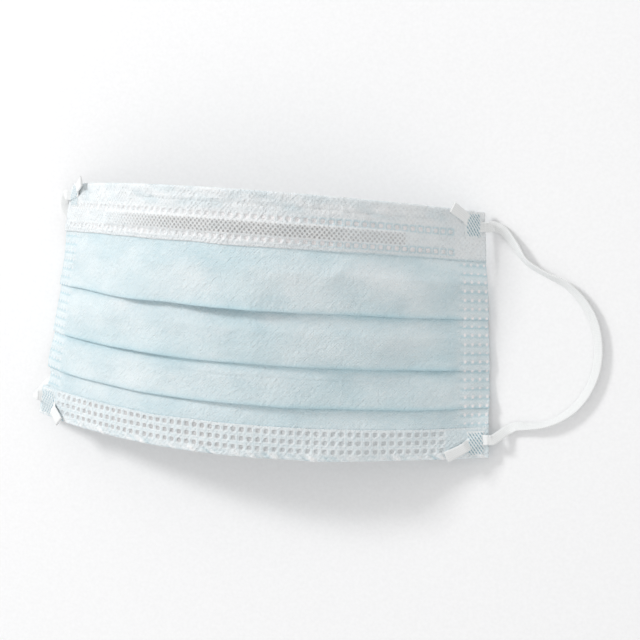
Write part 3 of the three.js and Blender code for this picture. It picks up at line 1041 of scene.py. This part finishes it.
@dataclass
class TopHem(Hem):
    """The upper hem, which bulges over the nose wire."""

    wire_across: float = 71.6
    wire_width: float = 3.7
    wire_length: float = 115.0
    wire_rise: float = 0.55
    crease_across: float = 78.7

    def shape(self, u: Array, v: Array) -> tuple[Array, Marks]:
        """The weld points, the wire's bulge and a crease under the fold."""
        w, marks = super().shape(u, v)
        away = np.abs(u - self.form.width / 2) - self.wire_length / 2
        along = 1 - smoothstep(away, -0.6, 1.0)
        across = np.abs(v - self.wire_across) - self.wire_width / 2
        w = w + self.wire_rise * along * (1 - smoothstep(across, -0.25, 0.75))
        ridge = along * bump(np.abs(v - self.wire_across), self.wire_width / 2 + 0.2, 0.4)
        w = w + 0.12 * ridge
        inside = smoothstep(u, 38, 52) * (1 - smoothstep(u, 150, 166))
        line = self.crease_across + 0.25 * ripple(u, 20, 77.0)
        w = w - 0.26 * inside * bump(v, line, 0.45) + 0.14 * inside * bump(v, line + 0.9, 0.6)
        loose = smoothstep(v, 76.3, 78.0)
        w = w + loose * 0.36 * rumple(u + 0.8 * v, v, 4.2, 3.0, self.seed)
        w = w + loose * 0.20 * rumple(u - 0.5 * v, v, 1.9, 1.6, self.seed + 4)
        w = w + 0.12 * rumple(u + v, v, 2.4, 2.0, self.seed + 2)
        shown = smoothstep(u, 26, 66) * (1 - 0.40 * smoothstep(u, 114, 132))
        marks["wire"] = shown * along * (1 - smoothstep(across, -0.15, 0.25))
        # The rims' painted highlight turns to painted shade towards the right; painted highlight along
        # the wire's ridges.
        rim_highlight_to_shade = 1.15 - 2.3 * smoothstep(u, 92, 122)
        marks["weld"] = marks["weld"] * (0.45 + 0.55 * smoothstep(u, 60, 110))
        marks["painted_light_and_tone"] = marks["painted_light_and_tone"] * (1 - marks["wire"]) * rim_highlight_to_shade + 0.5 * ridge * shown
        marks["painted_light_and_tone"] += 0.5 * loose * np.clip(rumple(u + 0.8 * v, v, 9, 4, self.seed + 9), -0.3, 1)
        return w, marks


@dataclass
class BottomHem(Hem):
    """The lower hem, wrinkled below its weld points."""

    def shape(self, u: Array, v: Array) -> tuple[Array, Marks]:
        """The weld points, and slanting wrinkles along the fold, with painted light and shade on them.
        """
        w, marks = super().shape(u, v)
        loose = 1 - smoothstep(v, 0.9, 2.4)
        streak = rumple(u + 1.3 * v, v * 0.5, 2.6, 3.0, self.seed)
        # Painted light on the wrinkles' crests and painted shade in their troughs, paler overall along
        # the fold.
        marks["painted_light_and_tone"] += loose * (0.35 + 1.3 * streak)
        w = w + loose * 0.60 * streak
        w = w + loose * 0.25 * rumple(u - v, v, 1.2, 1.6, self.seed + 3)
        w = w + 0.10 * rumple(u + v, v, 2.4, 2.0, self.seed + 2)
        return w, marks


@dataclass
class NoseWire:
    """The flat wire inside the upper hem."""

    form: ClothForm
    panel: PleatedPanel
    length: float = 115.0
    width: float = 3.4
    across: float = 71.6
    height: float = 0.50
    thickness: float = 0.7

    def build(self) -> bpy.types.Object:
        """Makes the wire, following the hem's waves."""
        middle = self.form.width / 2
        columns = np.array(steps(middle - self.length / 2, middle + self.length / 2, 1.0))
        lines = np.array(steps(self.across - self.width / 2, self.across + self.width / 2, 0.4))

        def place(i: Array, j: Array) -> tuple[Array, Marks]:
            """Points and marks of columns i and rows j."""
            u, v = columns[i], lines[j]
            rib = 0.12 * bump(np.abs(v - self.across), self.width * 0.36, 0.3)
            return self.form.points(u, v, self.height + rib + self.panel.drape(u, v)), {}

        piece = cloth_grid("nose_strip", columns, lines, place)
        thicken(piece, self.thickness)
        return piece


# ---- Elastic bands -----------------------------------------------------------------


@dataclass(frozen=True)
class Stop:
    """One point of a band's route over the ground, in millimetres and degrees."""

    x: float
    y: float
    under: float
    tilt: float


@dataclass(frozen=True)
class WeldPoint:
    """One point of a welded end, on the front of the mask."""

    u: float
    v: float
    lift: float


@dataclass
class BandFrame:
    """Centre, direction and facing of a band at one place."""

    centre: Vector
    tangent: Vector
    normal: Vector
    squash: float = 1.0
    spread: float = 1.0


def spline_point(points: Sequence[Vector], t: float) -> Vector:
    """Point of a smooth curve through points, spaced by the root of their distances.

    Args:
        points: The curve's points.
        t: Place along it, from 0 to 1, even in the number of points.

    Returns:
        The point.
    """
    last = len(points) - 1
    place = t * last
    i = min(int(place), last - 1)
    p1, p2 = points[i], points[i + 1]
    p0 = points[i - 1] if i > 0 else p1 * 2 - p2
    p3 = points[i + 2] if i + 2 <= last else p2 * 2 - p1
    knots = [0.0]
    for a, b in ((p0, p1), (p1, p2), (p2, p3)):
        knots.append(knots[-1] + max(1e-6, (b - a).length ** 0.5))
    x = knots[1] + (knots[2] - knots[1]) * (place - i)

    def blend(a: Vector, b: Vector, low: float, high: float) -> Vector:
        """Point between a at low and b at high."""
        return a.lerp(b, (x - low) / (high - low))

    a1 = blend(p0, p1, knots[0], knots[1])
    a2 = blend(p1, p2, knots[1], knots[2])
    a3 = blend(p2, p3, knots[2], knots[3])
    b1, b2 = blend(a1, a2, knots[0], knots[2]), blend(a2, a3, knots[1], knots[3])
    return blend(b1, b2, knots[1], knots[2])


@dataclass
class Band:
    """Flat knitted elastic, swept along frames."""

    width: float = 3.4
    thickness: float = 0.8
    ribs: int = 6
    around: int = 12

    def section(self) -> list[tuple[float, float, float]]:
        """Closed outline as across, up and the UV's share of the width."""
        outline = []
        for side in (1, -1):
            for i in range(2 * self.around):
                share = i / (2 * self.around)
                across = math.cos(math.pi * share) * side
                edge = (1 - abs(across) ** 6) ** (1 / 2.5)
                rib = 1 - 0.10 * (0.5 + 0.5 * math.cos(math.pi * across * self.ribs))
                up = side * self.thickness / 2 * edge * rib
                outline.append((across * self.width / 2, up, across / 2 + 0.5))
        return outline

    def sweep(self, name: str, frames: Sequence[BandFrame]) -> bpy.types.Object:
        """Extrudes the section along the frames and closes its ends.

        Args:
            name: Name of the piece.
            frames: Places of the section, in metres.

        Returns:
            The new object.
        """
        bm = bmesh.new()
        layer = bm.loops.layers.uv.new("Cloth")
        section = self.section()
        ring = bmesh.ops.create_circle(bm, cap_ends=False, segments=len(section), radius=1.0)["verts"]
        place_of = {}
        length = 0.0
        rings = []
        for n, at in enumerate(frames):
            if n:
                length += (at.centre - frames[n - 1].centre).length / MM
                edges = [
                    bm.edges.get((ring[i], ring[(i + 1) % len(ring)])) for i in range(len(ring))
                ]
                grown = bmesh.ops.extrude_edge_only(bm, edges=edges)["geom"]
                new = {v for v in grown if isinstance(v, bmesh.types.BMVert)}
                ring = [
                    next(e.other_vert(v) for e in v.link_edges if e.other_vert(v) in new) for v in ring
                ]
            across = at.normal.cross(at.tangent).normalized()
            for vert, (a, b, share) in zip(ring, section):
                offset = across * (a * at.spread) + at.normal * (b * at.squash)
                vert.co = at.centre + offset * MM
                place_of[vert] = (length / UV_SIZE, share)
            rings.append(list(ring))
        for end in (rings[0], rings[-1]):
            bmesh.ops.contextual_create(bm, geom=end)
        bmesh.ops.recalc_face_normals(bm, faces=bm.faces)
        for face in bm.faces:
            for loop in face.loops:
                loop[layer].uv = place_of[loop.vert]
        self.put_in_order(bm, rings)
        return new_object(name, bm)

    def put_in_order(self, bm: bmesh.types.BMesh, rings: list[list[bmesh.types.BMVert]]) -> None:
        """Sorts a swept mesh from ring to ring, so that each run stores it alike."""
        order = {vert: n for n, vert in enumerate(vert for ring in rings for vert in ring)}
        many = 100 * len(order)

        def rank(part: bmesh.types.BMFace | bmesh.types.BMEdge) -> int:
            """Place of a face or an edge, by its first point and then by all of them."""
            places = [order[vert] for vert in part.verts]
            return min(places) * many + sum(places)

        bm.faces.sort(key=rank)
        bm.edges.sort(key=rank)
        bm.verts.sort(key=lambda vert: order[vert])


@dataclass
class WeldedEnd:
    """The loose tail and welded end of a band on one corner, with its hatched weld."""

    form: ClothForm
    corner: str
    route: tuple[WeldPoint, ...]
    patch: tuple[float, float, float, float]
    hatch_turn: float = 35.0
    hatch_pitch: tuple[float, float] = (0.86, 1.05)
    height: float = 2.1
    patch_height: float = 0.98
    plate_height: float = 0.66
    plate_thickness: float = 0.16
    plate_step: float = 0.11
    count: int = 48

    def frames(self, band: Band) -> list[BandFrame]:
        """The band's frames from the tail's tip to the side edge, flat where it is welded."""
        last = self.route[-1]
        past = 0.5 if last.u > self.form.width / 2 else -0.5
        route = (*self.route, WeldPoint(last.u + past, last.v, 0.0))
        points = [self.form.point(p.u, p.v, self.height + p.lift) for p in route]
        frames = []
        for i in range(self.count + 1):
            t = i / self.count
            centre = spline_point(points, t)
            tangent = spline_point(points, min(1, t + 0.01)) - spline_point(points, max(0, t - 0.01))
            tangent.normalize()
            place = t * (len(route) - 1)
            k = min(int(place), len(route) - 2)
            a, b = route[k], route[k + 1]
            u, v = a.u + (b.u - a.u) * (place - k), a.v + (b.v - a.v) * (place - k)
            normal = self.form.normal(u, v)
            normal = (normal - tangent * normal.dot(tangent)).normalized()
            pressed = self.inside(u, v)
            centre = centre - normal * (self.height - self.patch_height) * pressed * MM
            flare = 1 + 0.08 * pressed + 0.14 * float(bump(np.array(t), 0.0, 0.18))
            frames.append(BandFrame(centre, tangent, normal, 1 - 0.55 * pressed, flare))
        return frames

    def inside(self, u: float, v: float) -> float:
        """How far a place is inside the welded patch, from 0 to 1."""
        u0, u1, v0, v1 = self.patch
        away = max(u0 - u, u - u1, v0 - v, v - v1)
        return float(1 - smoothstep(np.array(away), -1.2, 0.8))

    def hatch(self, a: Array, b: Array) -> Array:
        """Height of the crossed ridges at a along and b up the patch, in millimetres."""
        turn = math.radians(self.hatch_turn)
        along, rise = a * math.cos(turn), b * math.sin(turn)
        fine = np.abs(np.sin(math.pi * (along + rise) / self.hatch_pitch[0]))
        cross = np.abs(np.sin(math.pi * (along - rise) / self.hatch_pitch[1]))
        return np.maximum(smoothstep(fine, 0.62, 0.95), 0.6 * smoothstep(cross, 0.80, 0.98))

    def over_band(self, u: Array, v: Array) -> Array:
        """1 where the band lies under the patch, 0 beside it."""
        nearest = np.full(u.shape, 99.0)
        for a, b in zip(self.route, self.route[1:]):
            du, dv = b.u - a.u, b.v - a.v
            t = np.clip(((u - a.u) * du + (v - a.v) * dv) / (du * du + dv * dv), 0, 1)
            nearest = np.minimum(nearest, np.hypot(u - a.u - t * du, v - a.v - t * dv))
        return 1 - smoothstep(nearest, 1.4, 2.3)

    def build_patch(self) -> bpy.types.Object:
        """Makes the hatched weld as a thin pressed plate on the hem."""
        u0, u1, v0, v1 = self.patch
        columns, rows = steps(u0, u1, self.plate_step), steps(v0, v1, self.plate_step)
        column_u, row_v = np.array(columns), np.array(rows)

        def place(i: Array, j: Array) -> tuple[Array, Marks]:
            """Points and marks of columns i and rows j."""
            a, b = column_u[i] - u0, row_v[j] - v0
            ridge = self.hatch(a, b)
            u, v = column_u[i], row_v[j]
            rim = np.minimum.reduce([a, b, u1 - u0 - a, v1 - v0 - b])
            fade = smoothstep(rim + 0.5 * rumple(a, b, 1.1, 1.1, self.hatch_turn), 0.1, 0.9)
            w = self.plate_height + fade * (0.18 + 0.42 * self.over_band(u, v) + 0.14 * ridge)
            return self.form.points(u, v, w), {"valley": (1 - ridge) * fade}

        piece = cloth_grid("weld_mark_" + self.corner, columns, rows, place)
        thicken(piece, self.plate_thickness)
        return piece


@dataclass
class EarLoop:
    """The free span of one band, from the top corner to the bottom one."""

    form: ClothForm
    route: tuple[Stop, ...]
    top_end: WeldedEnd
    bottom_end: WeldedEnd
    lead_reach: tuple[float, float] = (0.45, 1.6)
    laid_thickness: float = 1.0
    tangent_step: float = 0.003
    count: int = 230

    def lead(self, end: WeldedEnd) -> list[Vector]:
        """Two points that carry the band on past the side edge."""
        last = end.route[-1]
        out = 1 if last.u > self.form.width / 2 else -1
        return [self.form.point(last.u + out * d, last.v, end.height) for d in self.lead_reach]

    def points(self, band: Band) -> list[Vector]:
        """The route's points, in metres."""
        laid = []
        for stop in self.route:
            lean = math.radians(abs(stop.tilt))
            half = (band.width * math.sin(lean) + self.laid_thickness * math.cos(lean)) / 2
            laid.append(Vector((stop.x, stop.y, stop.under + half)) * MM)
        return [*self.lead(self.top_end), *laid, *reversed(self.lead(self.bottom_end))]

    def frames(self, band: Band) -> list[BandFrame]:
        """The band's frames along its route, leaning by each stop's tilt."""
        points = self.points(band)
        tilts = [0.0, 0.0, *[stop.tilt for stop in self.route], 0.0, 0.0]
        frames = []
        for n in range(self.count + 1):
            t = n / self.count
            ahead, behind = min(1, t + self.tangent_step), max(0, t - self.tangent_step)
            tangent = spline_point(points, ahead) - spline_point(points, behind)
            tangent.normalize()
            normal = Vector((0, 0, 1)) - tangent * tangent.z
            normal.normalize()
            place = t * (len(tilts) - 1)
            i = min(int(place), len(tilts) - 2)
            share = float(smoothstep(np.array(place - i), 0, 1))
            tilt = tilts[i] + (tilts[i + 1] - tilts[i]) * share
            normal.rotate(Matrix.Rotation(math.radians(tilt), 3, tangent))
            frames.append(BandFrame(spline_point(points, t), tangent, normal))
        return frames


# ---- The whole mask ----------------------------------------------------------------


class Corner(Enum):
    """The four corners that carry a welded end."""

    TOP_RIGHT = "top_right"
    BOTTOM_RIGHT = "bottom_right"
    TOP_LEFT = "top_left"
    BOTTOM_LEFT = "bottom_left"


WELD_ROUTES: dict[Corner, tuple[WeldPoint, ...]] = {
    Corner.TOP_RIGHT: (
        WeldPoint(161.3, 83.2, 0.9), WeldPoint(165.6, 81.0, 0.2), WeldPoint(169.6, 78.6, 0),
        WeldPoint(172.6, 77.7, 0), WeldPoint(174.4, 77.6, 0),
    ),
    Corner.BOTTOM_RIGHT: (
        WeldPoint(160.2, 0.9, 0.3), WeldPoint(164.6, 2.7, 0), WeldPoint(169.0, 4.9, 0),
        WeldPoint(172.6, 5.9, 0), WeldPoint(174.4, 6.0, 0),
    ),
    Corner.TOP_LEFT: (
        WeldPoint(12.6, 83.4, 0.9), WeldPoint(9.2, 81.6, 0.2), WeldPoint(5.4, 79.4, 0),
        WeldPoint(2.4, 78.6, 0), WeldPoint(0.6, 78.5, 0),
    ),
    Corner.BOTTOM_LEFT: (
        WeldPoint(14.2, -0.2, 0.5), WeldPoint(10.2, 2.6, 0.1), WeldPoint(5.8, 5.2, 0),
        WeldPoint(2.4, 6.1, 0), WeldPoint(0.6, 6.2, 0),
    ),
}

# Left, right, bottom and top of each welded patch.
WELD_PATCHES: dict[Corner, tuple[float, float, float, float]] = {
    Corner.TOP_RIGHT: (167.2, 173.4, 73.8, 82.2),
    Corner.BOTTOM_RIGHT: (167.4, 173.6, 0.6, 9.0),
    Corner.TOP_LEFT: (1.2, 7.4, 74.6, 82.4),
    Corner.BOTTOM_LEFT: (0.4, 9.0, 0.4, 9.4),
}

RIGHT_ROUTE: tuple[Stop, ...] = (
    Stop(78.9, 37.9, 1.2, 0), Stop(81.9, 36.6, 0.1, 10), Stop(86.3, 32.2, 0.1, 35),
    Stop(90.7, 26.9, 0.1, 55), Stop(97.9, 23.0, 0.1, 60), Stop(104.7, 20.2, 0.1, 45),
    Stop(110.3, 15.6, 0.1, 30), Stop(114.9, 9.2, 0.1, 25), Stop(117.3, 1.0, 0.1, 25),
    Stop(117.3, -7.4, 0.1, 25), Stop(115.1, -14.6, 0.1, 30), Stop(111.3, -20.6, 0.1, 35),
    Stop(106.5, -24.8, 0.1, 45), Stop(101.5, -27.4, 0.1, 55), Stop(96.3, -28.6, 0.1, 50),
    Stop(91.3, -29.2, 0.1, 30), Stop(88.3, -30.8, 0.3, 10),
)

LEFT_ROUTE: tuple[Stop, ...] = (
    Stop(-78.9, 37.2, 0.9, 0), Stop(-79.3, 34.6, 0.1, 0), Stop(-77.1, 31.2, 0.1, 0),
    Stop(-72.7, 28.8, 0.1, 0), Stop(-65.7, 26.6, 0.1, 0), Stop(-58.7, 22.8, 0.1, 0),
    Stop(-53.3, 16.6, 0.1, 0), Stop(-50.3, 8.6, 0.1, 0), Stop(-49.7, 0.0, 0.1, 0),
    Stop(-51.7, -8.6, 0.1, 0), Stop(-56.3, -16.0, 0.1, 0), Stop(-62.7, -21.4, 0.1, 0),
    Stop(-70.3, -24.8, 0.1, 0), Stop(-76.5, -26.6, 0.1, 15), Stop(-80.9, -28.6, 0.1, 40),
    Stop(-83.5, -31.6, 0.3, 35),
)


@dataclass
class FaceMask:
    """Builds the mask's pieces in order and dresses them."""

    form: ClothForm = field(default_factory=ClothForm)
    band: Band = field(default_factory=Band)
    outer_cloth: Spunbond = Spunbond(
        "outer_spunbond", (0.60, 0.725, 0.77), (0.69, 0.795, 0.83), (0.95, 0.92, 0.93)
    )
    inner_cloth: Spunbond = Spunbond(
        "inner_spunbond", (0.80, 0.82, 0.83), (0.86, 0.87, 0.88), (0.80, 0.80, 0.80),
        shade_and_deep_colour=(0.70, 0.74, 0.76),
    )
    upper_cloth: Spunbond = Spunbond(
        "upper_hem_spunbond", (0.80, 0.865, 0.895), (0.89, 0.93, 0.95), (0.97, 0.955, 0.965),
        bond_pitch=(1.6, 1.7), bond_depth=1.0, grain_depth=0.0007,
    )
    lower_cloth: Spunbond = Spunbond(
        "lower_hem_spunbond", (0.67, 0.785, 0.83), (0.77, 0.865, 0.90), (0.60, 0.61, 0.62),
        bond_pitch=(1.6, 1.7), bond_depth=0.8,
    )
    elastic: KnitElastic = KnitElastic()
    weld: WeldMark = WeldMark()

    def build_ends(self, knit: bpy.types.Material) -> dict[Corner, WeldedEnd]:
        """Makes the welded ends and their hatched welds."""
        weld_finish = self.weld.material()
        ends = {}
        for corner in Corner:
            end = WeldedEnd(self.form, corner.value, WELD_ROUTES[corner], WELD_PATCHES[corner])
            piece = self.band.sweep("band_end_" + corner.value, end.frames(self.band))
            piece.data.materials.append(knit)
            keep(piece, "elastic", "loop_end_" + corner.value)
            plate = end.build_patch()
            plate.data.materials.append(weld_finish)
            keep(plate, "hem_cloth")
            ends[corner] = end
        return ends

    def build_loop(
        self,
        side: str,
        route: tuple[Stop, ...],
        top: WeldedEnd,
        bottom: WeldedEnd,
        knit: bpy.types.Material,
    ) -> None:
        """Args:
            side: Right or left, for the piece's name.
            route: The band's way over the ground.
            top: The end welded at the top corner.
            bottom: The end welded at the bottom corner.
            knit: The elastic's finish.
        """
        loop = EarLoop(self.form, route, top, bottom)
        frames = loop.frames(self.band)
        piece = self.band.sweep("elastic_" + side, frames)
        piece.data.materials.append(knit)
        keep(piece, "elastic", "ear_loop_" + side)

    def build_cloth(self) -> None:
        panel = PleatedPanel(self.form)
        outer, inner = self.outer_cloth.material(), self.inner_cloth.material()
        sheet = panel.build()
        sheet.data.materials.append(outer)
        sheet.data.materials.append(inner)
        keep(sheet, "panel_cloth", "pleated_panel")
        hems = (
            TopHem(self.form, panel, "upper_hem", "top_hem", 65.8, 82.7, (68.35, 75.0), 52.4,
                   2.81, (4.5, 164.0), seed=2.0),
            BottomHem(self.form, panel, "lower_hem", "bottom_hem", 10.1, -0.1, (8.45, 5.70, 2.94),
                      14.0, 2.842, (9.5, 160.5), fading=0.42, seed=5.0),
        )
        for hem, cloth in zip(hems, (self.upper_cloth, self.lower_cloth)):
            piece = hem.build()
            piece.data.materials.append(cloth.material())
            keep(piece, "hem_cloth", hem.node)
            hem.flat_size()
        wire = NoseWire(self.form, panel).build()
        wire.data.materials.append(plain_finish("coated_wire", (0.60, 0.59, 0.57), 0.45, 0.2))
        keep(wire, "nose_wire", "nose_wire")
        panel.flat_size()

    def build(self) -> None:
        """Makes the whole mask, the bands first."""
        knit = self.elastic.material()
        ends = self.build_ends(knit)
        self.build_loop("right", RIGHT_ROUTE, ends[Corner.TOP_RIGHT], ends[Corner.BOTTOM_RIGHT], knit)
        self.build_loop("left", LEFT_ROUTE, ends[Corner.TOP_LEFT], ends[Corner.BOTTOM_LEFT], knit)
        self.build_cloth()


# ---- Camera, floor and light -------------------------------------------------------


@dataclass(frozen=True)
class Viewpoint:
    """A camera above the mask, a little to its right."""

    yaw: float = 17.21
    pitch: float = -4.0
    roll: float = 3.71
    distance: float = 800.0
    aim: tuple[float, float, float] = (22.84, 1.96, 12.47)
    lens: float = 131.5
    sensor: float = 36.0

    def place(self) -> None:
        """Makes the camera and gives it to the scene."""
        yaw, pitch, roll = (math.radians(a) for a in (self.yaw, self.pitch, self.roll))
        out = Vector((math.sin(yaw), -math.sin(pitch) * math.cos(yaw), math.cos(pitch) * math.cos(yaw)))
        right = (-out).cross(Vector((0, 1, 0))).normalized()
        up = right.cross(-out)
        turned_right = right * math.cos(roll) + up * math.sin(roll)
        turned_up = up * math.cos(roll) - right * math.sin(roll)
        data = bpy.data.cameras.new("camera")
        data.lens = self.lens
        data.sensor_width = self.sensor
        data.clip_start = 0.01
        camera = bpy.data.objects.new("camera", data)
        rotation = Matrix((turned_right, turned_up, out)).transposed()
        camera.matrix_world = Matrix.Translation(
            (Vector(self.aim) + out * self.distance) * MM) @ rotation.to_4x4()
        bpy.context.scene.collection.objects.link(camera)
        bpy.context.scene.camera = camera


@dataclass(frozen=True)
class SoftLight:
    """A square lamp that looks at the mask."""

    name: str
    place: tuple[float, float, float]
    size: float
    power: float

    def build(self) -> None:
        """Makes the lamp."""
        data = bpy.data.lights.new(self.name, "AREA")
        data.size = self.size
        data.energy = self.power
        lamp = bpy.data.objects.new(self.name, data)
        lamp.location = self.place
        lamp.rotation_euler = Vector(self.place).to_track_quat("Z", "Y").to_euler()
        bpy.context.scene.collection.objects.link(lamp)


@dataclass(frozen=True)
class Studio:
    """Pale floor, soft lamps and an even surround."""

    floor_colour: Colour = (0.93, 0.93, 0.935)
    floor_half: float = 3.0
    floor_drop: float = 0.0003
    surround: float = 0.75
    lamps: tuple[SoftLight, ...] = (
        SoftLight("key", (-0.91, 0.55, 0.75), 0.26, 8.4),
        SoftLight("fill", (0.70, -0.50, 1.10), 1.20, 1.2),
    )

    def build(self) -> None:
        """Makes the floor, the lamps and the surround."""
        bm = bmesh.new()
        bmesh.ops.create_grid(bm, x_segments=2, y_segments=2, size=self.floor_half)
        bmesh.ops.translate(bm, verts=bm.verts, vec=(0, 0, -self.floor_drop))
        floor = new_object("floor", bm)
        floor.data.materials.append(plain_finish("floor_paint", self.floor_colour, 0.9))
        for lamp in self.lamps:
            lamp.build()
        world = bpy.data.worlds.new("surround")
        world.use_nodes = True
        background = world.node_tree.nodes["Background"]
        background.inputs["Color"].default_value = (1.0, 1.0, 1.0, 1.0)
        background.inputs["Strength"].default_value = self.surround
        bpy.context.scene.world = world
        bpy.context.scene.view_settings.view_transform = "Standard"


def main() -> None:
    """Builds the scene in order."""
    logging.basicConfig(level=logging.INFO, format="%(name)s %(message)s")
    Viewpoint().place()
    Studio().build()
    FaceMask().build()
    bpy.context.view_layer.update()


if __name__ == "__main__":
    main()
